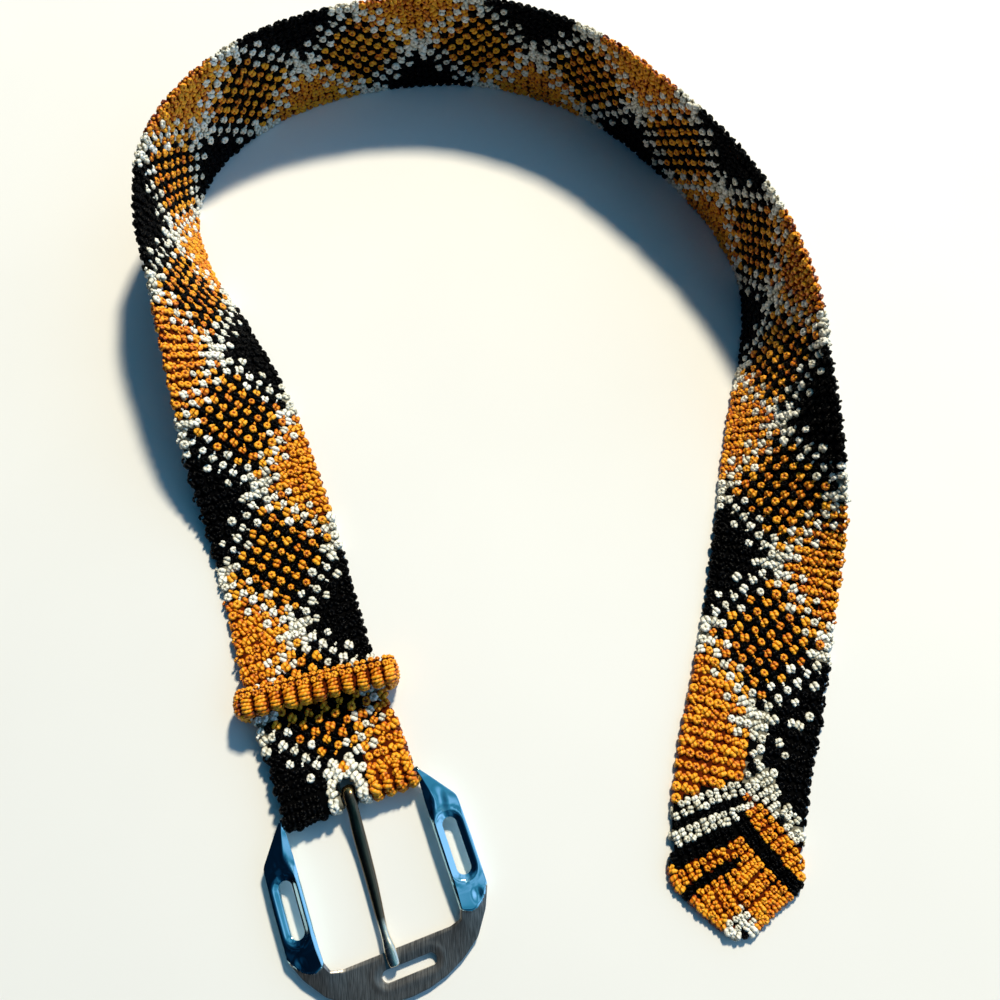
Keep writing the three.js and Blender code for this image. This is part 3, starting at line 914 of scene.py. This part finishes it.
def modelCore():
    gapColors = coreColors()
    edges = rowPlace(np.arange(lay["firstRow"], lay["lastRow"] + 1) - 0.5)
    edges = edges[between(edges, foldStart, bandLength)]
    edges = np.concatenate([[foldStart + core["startGap"]], edges, [bandLength - core["endGap"]]])
    columns, rows = band["columns"], len(edges) - 1
    clearSelection()
    bpy.ops.mesh.primitive_grid_add(x_subdivisions=columns, y_subdivisions=rows, size=2)
    piece = bpy.context.object
    piece.name = "band_core"
    column, row = gridVertices(piece, columns, rows)
    s = edges[row]
    inset = core["edgeInset"] + core["tipInset"] * (lineAt("toTip", s) < core["tipFrom"])
    reach = np.maximum(halfWidthAt(s) - inset, core["leastHalf"])
    x = band["width"] / 2 + (column / columns * 2 - 1) * reach
    movePoints(piece, surfaceAt(x, s)[0])
    names = list(cordMaterials)
    for name in names:
        piece.data.materials.append(coreMaterials[name])
    # the two middle columns are left out where the prong's slot is
    slotFrom = foldStart + fold["turnBack"] - fold["slotBack"]
    pick(piece)
    bpy.ops.object.mode_set(mode="EDIT")
    bpy.ops.mesh.select_all(action="DESELECT")
    bpy.ops.object.mode_set(mode="OBJECT")
    for face in piece.data.polygons:
        faceColumn = column[list(face.vertices)].min()
        middle = s[list(face.vertices)].mean()
        number = int(np.argmin(np.abs(rowPlace(rowNumbers) - middle)))
        face.material_index = names.index(gapColors[number * columns + faceColumn])
        face.select = abs(faceColumn + 0.5 - columns / 2) < 1 and slotFrom < middle < slotTo
        face.use_smooth = True
    bpy.ops.object.mode_set(mode="EDIT")
    bpy.ops.mesh.delete(type="FACE")
    bpy.ops.object.mode_set(mode="OBJECT")
    applyModifier(piece, "SOLIDIFY", thickness=core["thick"] * mm, offset=0)
    return piece


dress(modelCore(), "belt", "strap")
print("band core")


# The keeper: a knotted loop over the band

keeper = {
    "offset": -0.3, "distance": 34.6, "skew": -7.6, "half": 4.2, "column": 4.6, "lookAhead": 0.4,
    # outside corners seen along the band: x, z, rounding
    "corners": [(-25.6, 0.0, 3.4), (25.2, 0.0, 3.4), (28.0, 14.6, 6.0), (-26.0, 12.4, 6.0)],
    # knots side by side in each column, from the far rim over the top: y, depth, angle, size
    "pairs": [(3.35, 1.9, 55.0, 0.78), (1.75, 1.4, 12.0, 0.92)], "beside": 1.02,
    # each column swells into fat strands fanned over the near rim: y, depth, angle, fan
    "strands": [(-0.35, 1.3, 0.0, 14.0), (-2.2, 1.3, -24.0, -4.0), (-3.2, 2.5, -72.0, -16.0)],
    "strandSize": (1.45, 0.92, 1.15), "turnSpread": 9.0, "sizeSpread": 0.07,
    # plain knots on the inside: y
    "inside": [-2.4, 0.0, 2.4], "insideSize": (0.95, 1.3, 0.42), "insideDepth": 1.9,
    "coreThick": 1.3, "coreInset": 1.9, "coreRim": 1.3, "coreAround": 96,
}


def keeperOutline():
    points = []
    corners = keeper["corners"]
    for k, (x, z, rounding) in enumerate(corners):
        here = np.array([x, z])
        before, after = np.array(corners[k - 1][:2]), np.array(corners[(k + 1) % len(corners)][:2])
        start = here + unit(before - here) * rounding
        end = here + unit(after - here) * rounding
        share = np.linspace(0, 1, 13)[:, None]
        points.append(start * (1 - share)**2 + 2 * here * share * (1 - share) + end * share**2)
    path = np.vstack(points + [points[0][:1]])
    return {"p": lengthAlong(path), "path": path}


keeperPath = keeperOutline()
keeperRound = keeperPath["p"][-1]


# A place on the keeper's loop: p runs round it seen along the band, y across its length, and depth
# inward from its outside. Angle turns the normal over the loop's near or far rim.
def keeperAt(p, y, depth, angle):
    p, y, depth, angle = np.broadcast_arrays(np.asarray(p, float) % keeperRound, y, depth, angle)
    flat, ahead, back = (readAlong((p + step) % keeperRound, keeperPath["p"], keeperPath["path"])
                         for step in (0, keeper["lookAhead"], -keeper["lookAhead"]))
    way = unit(ahead - back)
    along = np.stack([way[..., 0], 0 * p, way[..., 1]], axis=-1)
    out = np.stack([way[..., 1], 0 * p, -way[..., 0]], axis=-1)
    place = np.stack([flat[..., 0], y, flat[..., 1]], axis=-1) - out * depth[..., None]
    lean = np.radians(angle)[..., None]
    normal = out * np.cos(lean) + np.array([0, 1.0, 0]) * np.sin(lean)
    spin = turnedBy(fold["turn"] + keeper["skew"])
    origin = barFoot + turnedBy(fold["turn"]) @ np.array([keeper["offset"], keeper["distance"], 0])
    return origin + place @ spin.T, along @ spin.T, normal @ spin.T


def keeperFrames(p, y, depth, angle, turn, size):
    count = len(p)
    place, along, normal = keeperAt(p, y, depth, angle)
    across = np.cross(normal, along)
    bend = np.radians(turn + chance.normal(0, keeper["turnSpread"], count))[:, None]
    length = along * np.cos(bend) + across * np.sin(bend)
    size = np.broadcast_to(size, (count, 3)) * (1 + chance.normal(0, keeper["sizeSpread"], count))[:, None]
    return sizedFrames(place, length, np.cross(normal, length), normal, size)


def modelKeeper():
    columns = round(keeperRound / keeper["column"])
    p = (np.arange(columns) + 0.5) * keeperRound / columns
    batches = []
    for y, depth, angle, size in keeper["pairs"]:
        for shift in (-keeper["beside"], keeper["beside"]):
            batches.append((ringKnot, keeperFrames(p + shift, y, depth, angle, 90.0, size)))
    for y, depth, angle, fan in keeper["strands"]:
        batches.append((pairKnot, keeperFrames(p, y, depth, angle, fan, keeper["strandSize"])))
    for y in keeper["inside"]:
        frames = keeperFrames(p, y, keeper["insideDepth"], 180.0, 90.0, keeper["insideSize"])
        batches.append((backKnot, frames))
    knots = joinCopies("keeper_knots", batches, cordMaterials["ochre"])
    dress(knots, "belt", "keeper")
    clearSelection()
    bpy.ops.mesh.primitive_cylinder_add(vertices=keeper["coreAround"], end_fill_type="NOTHING")
    loop = bpy.context.object
    loop.name = "keeper_core"
    flat = pointsOf(loop)
    turn = np.arctan2(flat[:, 1], flat[:, 0]) / (2 * math.pi) % 1
    reach = keeper["half"] - keeper["coreRim"]
    y = np.where(flat[:, 2] > 0, reach, -reach)
    movePoints(loop, keeperAt(turn * keeperRound, y, keeper["coreInset"], 0.0)[0])
    # the keeper's inner loop gets the darker ochre core colour, painted shade between its knots
    loop.data.materials.append(coreMaterials["ochre"])
    faceOutward(loop)
    applyModifier(loop, "SOLIDIFY", thickness=keeper["coreThick"] * mm, offset=0)
    dress(loop, "belt", "keeper")


modelKeeper()
print("keeper")


# The buckle's metal

metalLooks = {
    "polished": {"color": (0.46, 0.72, 0.80), "roughness": 0.06},
    "bar": {"color": (0.10, 0.12, 0.13), "roughness": 0.2},
    "waves": 75.0, "waveHeight": 0.0012, "waveStrength": 0.22, "smears": 240.0, "smearGloss": (0.05, 0.14),
    "brushed": {"color": (0.33, 0.31, 0.29), "dark": (0.09, 0.085, 0.08), "roughness": 0.36,
                "metallic": 0.86, "strokes": (5200.0, 260.0, 260.0), "strokeTurn": 12.0, "relief": 0.00006},
    "prong": {"color": (0.15, 0.105, 0.065), "roughness": 0.19, "scratches": 900.0, "gloss": (0.1, 0.34),
              # brass shows at the eye, and near the tip, where it lies on the front bar, a pale brass tint
              # that is partly its own colour and partly a painted highlight
              "brass": (0.75, 0.50, 0.16), "brassFrom": 0.8, "brassTo": 3.6,
              "tintAndHighlight": (0.82, 0.74, 0.58), "tintAndHighlightFrom": -36.0, "tintAndHighlightTo": -39.0},
}


def polishedMaterial(name):
    look = metalLooks[name]
    material, tree, shader = newMaterial(name + "Metal", look["color"], look["roughness"], 1.0)
    place = objectPlace(tree)
    waves = noiseNode(tree, place, metalLooks["waves"], 1.0)
    roughen(tree, shader, waves, metalLooks["waveHeight"], metalLooks["waveStrength"])
    smears = noiseNode(tree, place, metalLooks["smears"], 4.0)
    gloss = rangeNode(tree, smears, 0.4, 0.75, *metalLooks["smearGloss"])
    tree.links.new(gloss, shader.inputs["Roughness"])
    return material


def brushedMaterial():
    look = metalLooks["brushed"]
    material, tree, shader = newMaterial("brushedMetal", look["color"], look["roughness"], look["metallic"])
    inputs = {"Vector": objectPlace(tree), "Rotation": (0, 0, -math.radians(look["strokeTurn"])),
              "Scale": look["strokes"]}
    strokes = noiseNode(tree, addNode(tree, "ShaderNodeMapping", inputs).outputs["Vector"], 1.0, 3.0)
    color = colorRamp(tree, strokes, [(0.3, look["dark"]), (0.7, look["color"])])
    tree.links.new(color, shader.inputs["Base Color"])
    roughen(tree, shader, strokes, look["relief"])
    return material


def prongMaterial():
    look = metalLooks["prong"]
    material, tree, shader = newMaterial("drawnWire", look["color"], look["roughness"], 1.0)
    place = objectPlace(tree)
    y = addNode(tree, "ShaderNodeSeparateXYZ", {0: place}).outputs["Y"]
    brass = rangeNode(tree, y, (barMiddle[1] + look["brassFrom"]) * mm, (barMiddle[1] + look["brassTo"]) * mm)
    inputs = {"Vector": place, "Rotation": (0, 0, -math.radians(fold["turn"]))}
    own = addNode(tree, "ShaderNodeMapping", inputs).outputs["Vector"]
    alongProng = addNode(tree, "ShaderNodeSeparateXYZ", {0: own}).outputs["Y"]
    bar = float((turnedBy(-fold["turn"]) @ barMiddle)[1])
    # the pale zone near the tip: partly brass tint, partly painted highlight
    tintAndHighlight = rangeNode(tree, alongProng, (bar + look["tintAndHighlightFrom"]) * mm, (bar + look["tintAndHighlightTo"]) * mm)
    color = mixColors(tree, brass, (*look["color"], 1), (*look["brass"], 1))
    color = mixColors(tree, tintAndHighlight, color, (*look["tintAndHighlight"], 1))
    tree.links.new(color, shader.inputs["Base Color"])
    gloss = rangeNode(tree, noiseNode(tree, place, look["scratches"], 3.0), 0.0, 1.0, *look["gloss"])
    tree.links.new(gloss, shader.inputs["Roughness"])
    return material


def onBuckle(points):  # from the buckle's own axes to the belt's
    return points @ turnedBy(fold["turn"]).T + barFoot


buckle = {
    "thick": 1.8, "across": 26, "between": 14, "bevel": 0.22, "lowest": 0.02,
    "barRadius": 1.3, "barHalf": 22.3, "barBevel": 0.3,
    # press is how much of the dip a slot's sides get
    "sideSlot": {"x": 26.0, "y": -24.8, "length": 17.2, "width": 4.4, "along": "y", "press": 1.0},
    "frontSlot": {"x": 1.6, "y": -51.7, "length": 17.0, "width": 3.6, "along": "x", "press": 0.35},
    "shares": (0, 0.16, 0.42, 0.71, 1),
    # share of the inner facet across the plate, wide beside the bar and narrow further on
    "facet": {"wide": 0.32, "narrow": 0.09, "from": -9.0, "to": -16.0},
    # where the polish ends on each side plate: a step on a curved line through x and y
    "joint": {"x": 24.5, "y": -43.2, "reach": 6.0, "rise": 5.0, "step": 0.45, "slope": 0.7},
    # the slots' sides are pressed down inside a low ridge
    "dip": 1.05, "dipReach": 1.9, "dipInside": 0.6, "ridge": 0.24, "ridgeAt": 2.2, "ridgeHalf": 0.7,
    # small pressed hollows in each side plate: x, y, reach, depth
    "hollows": [(27.4, -40.0, 2.2, 0.34), (25.6, -10.5, 3.0, 0.30)], "hollowStretch": 0.6,
    # half of the plate from beside the bar to the middle of the front: inner edge x and y, outer
    # edge x and y, crest height, outer height, drop of the inner lip
    "sections": [
        (21.4, -0.2, 22.6, 0.0, 5.6, 5.4, 0.3), (21.4, -2.4, 24.7, -2.6, 5.7, 5.1, 0.5),
        (21.1, -10.0, 30.9, -10.9, 5.7, 4.0, 0.8), (21.1, -24.0, 31.1, -24.0, 5.7, 3.9, 0.8),
        (21.1, -37.0, 31.0, -38.0, 5.5, 3.7, 0.8), (21.0, -41.8, 28.2, -44.2, 4.7, 3.1, 0.6),
        (20.0, -44.4, 23.4, -50.8, 3.7, 2.4, 0.4), (16.6, -45.3, 17.2, -54.9, 2.9, 1.9, 0.3),
        (11.0, -45.3, 11.4, -57.4, 2.5, 1.8, 0.2), (5.5, -45.3, 5.7, -58.8, 2.4, 1.8, 0.2),
        (0.0, -45.3, 0.0, -59.2, 2.4, 1.8, 0.2),
    ],
}


def jointAt(x):
    joint = buckle["joint"]
    return joint["y"] + joint["rise"] * ((np.abs(x) - joint["x"]) / joint["reach"])**2


def plateRows():  # the sections from the left point round the front to the right one, divided finely
    half = np.array(buckle["sections"])
    other = half[:-1][::-1].copy()
    half[:, [0, 2]] *= -1
    rows = np.vstack([half, other])
    place = np.linspace(0, len(rows) - 1, (len(rows) - 1) * buckle["between"] + 1)
    fine = readAlong(place, np.arange(len(rows)), rows)
    soft = np.vstack([fine[:1], (fine[:-2] + 2 * fine[1:-1] + fine[2:]) / 4, fine[-1:]])
    return np.vstack([soft[:1], (soft[:-2] + 2 * soft[1:-1] + soft[2:]) / 4, soft[-1:]])


def platePoints(rows, row, share):
    innerX, innerY, outerX, outerY, crest, outer, lip = rows[row].T
    facet, joint = buckle["facet"], buckle["joint"]
    widening = smoothstep(innerY, facet["to"], facet["from"])
    crestShare = facet["narrow"] + (facet["wide"] - facet["narrow"]) * widening
    slope = np.clip((share - crestShare) / (1 - crestShare), 0, 1)
    top = crest + (outer - crest) * slope - lip * (1 - np.clip(share / crestShare, 0, 1))
    y = innerY + (outerY - innerY) * share
    x = innerX + (outerX - innerX) * share
    top = top + joint["step"] * smoothstep(y - jointAt(x), -joint["slope"], 0)
    for slot in (buckle["sideSlot"], buckle["frontSlot"]):
        sideways = slot["along"] == "x"
        off = np.stack([(x if sideways else np.abs(x)) - slot["x"], y - slot["y"]])
        reach = (slot["length"] - slot["width"]) / 2
        lengthwise = 0 if sideways else 1
        off[lengthwise] = np.maximum(np.abs(off[lengthwise]) - reach, 0)
        away = np.hypot(*off) - slot["width"] / 2
        dip = buckle["dip"] * (1 - smoothstep(away, -buckle["dipInside"], buckle["dipReach"]))
        ridge = buckle["ridge"] * np.exp(-((away - buckle["ridgeAt"]) / buckle["ridgeHalf"])**2)
        top = top + slot["press"] * (ridge - dip)
    for hollowX, hollowY, reach, depth in buckle["hollows"]:
        away = np.hypot(np.abs(x) - hollowX, (y - hollowY) * buckle["hollowStretch"])
        top = top - depth * (1 - smoothstep(away, 0, reach))
    return np.stack([x, y, top], axis=1)


def slotCutter(slot):  # a round-ended bar standing through the plate
    clearSelection()
    bpy.ops.mesh.primitive_cylinder_add(vertices=32, radius=slot["width"] / 2, depth=20)
    cutter = bpy.context.object
    reach = (slot["length"] - slot["width"]) / 2
    points = pointsOf(cutter)
    points[:, 1] += np.where(points[:, 1] > 0, reach, -reach)
    if slot["along"] == "x":
        points = points[:, [1, 0, 2]] * [1, -1, 1]
    movePoints(cutter, onBuckle(points + [slot["x"], slot["y"], 0]))
    return cutter


def modelBuckle():
    rows = plateRows()
    across, count = buckle["across"], len(rows) - 1
    clearSelection()
    bpy.ops.mesh.primitive_grid_add(x_subdivisions=across, y_subdivisions=count, size=2)
    plate = bpy.context.object
    plate.name = "buckle_plate"
    column, row = gridVertices(plate, across, count)
    shares = buckle["shares"]
    marks = np.interp(np.linspace(0, 1, across + 1), np.linspace(0, 1, len(shares)), shares)
    movePoints(plate, onBuckle(platePoints(rows, row, marks[column])))
    faceOutward(plate)
    if plate.data.polygons[len(plate.data.polygons) // 2].normal.z < 0:
        plate.data.flip_normals()
    applyModifier(plate, "SOLIDIFY", thickness=buckle["thick"] * mm, offset=-1)
    right = buckle["sideSlot"]
    for slot in (right, dict(right, x=-right["x"]), buckle["frontSlot"]):
        cutter = slotCutter(slot)
        applyModifier(plate, "BOOLEAN", operation="DIFFERENCE", object=cutter, solver="EXACT")
        bpy.data.objects.remove(cutter)
    points = pointsOf(plate) / mm
    points[:, 2] = np.maximum(points[:, 2], buckle["lowest"])
    movePoints(plate, points)
    applyModifier(plate, "BEVEL", width=buckle["bevel"] * mm, segments=2, limit_method="ANGLE",
                  angle_limit=math.radians(40))
    smoothByAngle(plate)
    plate.data.materials.clear()
    plate.data.materials.append(polishedMaterial("polished"))
    plate.data.materials.append(brushedMaterial())
    for face in plate.data.polygons:
        own = (np.array(face.center) / mm - barFoot) @ turnedBy(fold["turn"])
        face.material_index = int(own[1] < jointAt(own[0]) - buckle["joint"]["slope"] / 2)
    dress(plate, "belt", "buckle_frame")


def modelBar():
    clearSelection()
    bpy.ops.mesh.primitive_cylinder_add(vertices=32, radius=buckle["barRadius"], depth=buckle["barHalf"] * 2)
    barPiece = bpy.context.object
    barPiece.name = "buckle_bar"
    points = pointsOf(barPiece)[:, [2, 1, 0]] * [1, 1, -1]
    movePoints(barPiece, onBuckle(points + [0, 0, barMiddle[2]]))
    applyModifier(barPiece, "BEVEL", width=buckle["barBevel"] * mm, segments=2, limit_method="ANGLE")
    smoothByAngle(barPiece)
    barPiece.data.materials.append(polishedMaterial("bar"))
    dress(barPiece, "belt", "buckle_frame")


modelBuckle()
modelBar()
print("buckle")


# The prong

prong = {
    "ring": 18, "eyeMajor": 2.6, "eyeMinor": 1.0, "eyeWide": 1.9,
    # y, z, half width, half thickness, x
    "stations": [
        (1.7, 6.5, 0.9, 0.5, 0), (1.3, 6.6, 1.6, 0.8, 0), (0.4, 6.65, 1.9, 1.0, 0), (-1.5, 6.6, 1.9, 1.0, 0),
        (-4.0, 6.2, 1.75, 1.0, -0.1), (-6.2, 5.3, 1.8, 1.0, -0.3), (-8.0, 4.5, 1.9, 1.0, -0.6),
        (-12.5, 3.1, 2.0, 1.0, -1.0), (-20.0, 2.6, 1.85, 1.0, -1.25), (-28.0, 2.6, 1.68, 1.0, -1.55),
        (-34.0, 2.6, 1.42, 0.98, -1.95), (-37.0, 2.7, 1.28, 0.95, -2.1), (-39.5, 2.85, 1.22, 0.95, -2.15),
        (-42.0, 3.1, 1.30, 0.98, -2.1), (-44.0, 3.4, 1.72, 1.0, -2.0), (-46.4, 3.6, 1.85, 1.0, -1.95),
        (-48.6, 3.6, 1.80, 1.0, -1.95), (-49.5, 3.6, 1.55, 0.9, -1.95), (-49.9, 3.6, 1.1, 0.6, -1.95),
    ],
}


def modelProng():
    clearSelection()
    bpy.ops.mesh.primitive_circle_add(vertices=prong["ring"], radius=1, fill_type="NGON",
                                      rotation=(math.pi / 2, 0, 0))
    arm = bpy.context.object
    arm.name = "prong_arm"
    settle(arm)
    bpy.ops.object.mode_set(mode="EDIT")
    bpy.ops.mesh.select_all(action="SELECT")
    for before, station in zip(prong["stations"], prong["stations"][1:]):
        step = (0, station[0] - before[0], station[1] - before[1])
        bpy.ops.mesh.extrude_region_move(TRANSFORM_OT_translate={"value": step})
    faceOutward(arm)
    points = pointsOf(arm)
    y, z, halfWidth, halfThick, x = np.array(prong["stations"]).T
    along = np.rint(np.interp(points[:, 1] + y[0], y[::-1], np.arange(len(y))[::-1])).astype(int)
    ownZ = points[:, 2] - (z[along] - z[0])
    shaped = [points[:, 0] * halfWidth[along] + x[along], y[along], z[along] + ownZ * halfThick[along]]
    movePoints(arm, onBuckle(np.stack(shaped, axis=1)))
    applyModifier(arm, "SUBSURF", levels=1, render_levels=1)
    bpy.ops.mesh.primitive_torus_add(major_segments=32, minor_segments=12, major_radius=prong["eyeMajor"],
                                     minor_radius=prong["eyeMinor"])
    eye = bpy.context.object
    eye.name = "prong_eye"
    points = pointsOf(eye)[:, [2, 1, 0]] * [prong["eyeWide"], 1, -1]
    movePoints(eye, onBuckle(points + [0, 0, barMiddle[2]]))
    material = prongMaterial()
    for piece in (arm, eye):
        piece.data.materials.append(material)
        pick(piece)
        bpy.ops.object.shade_smooth()
        dress(piece, "prong", "prong")


modelProng()
print("prong")
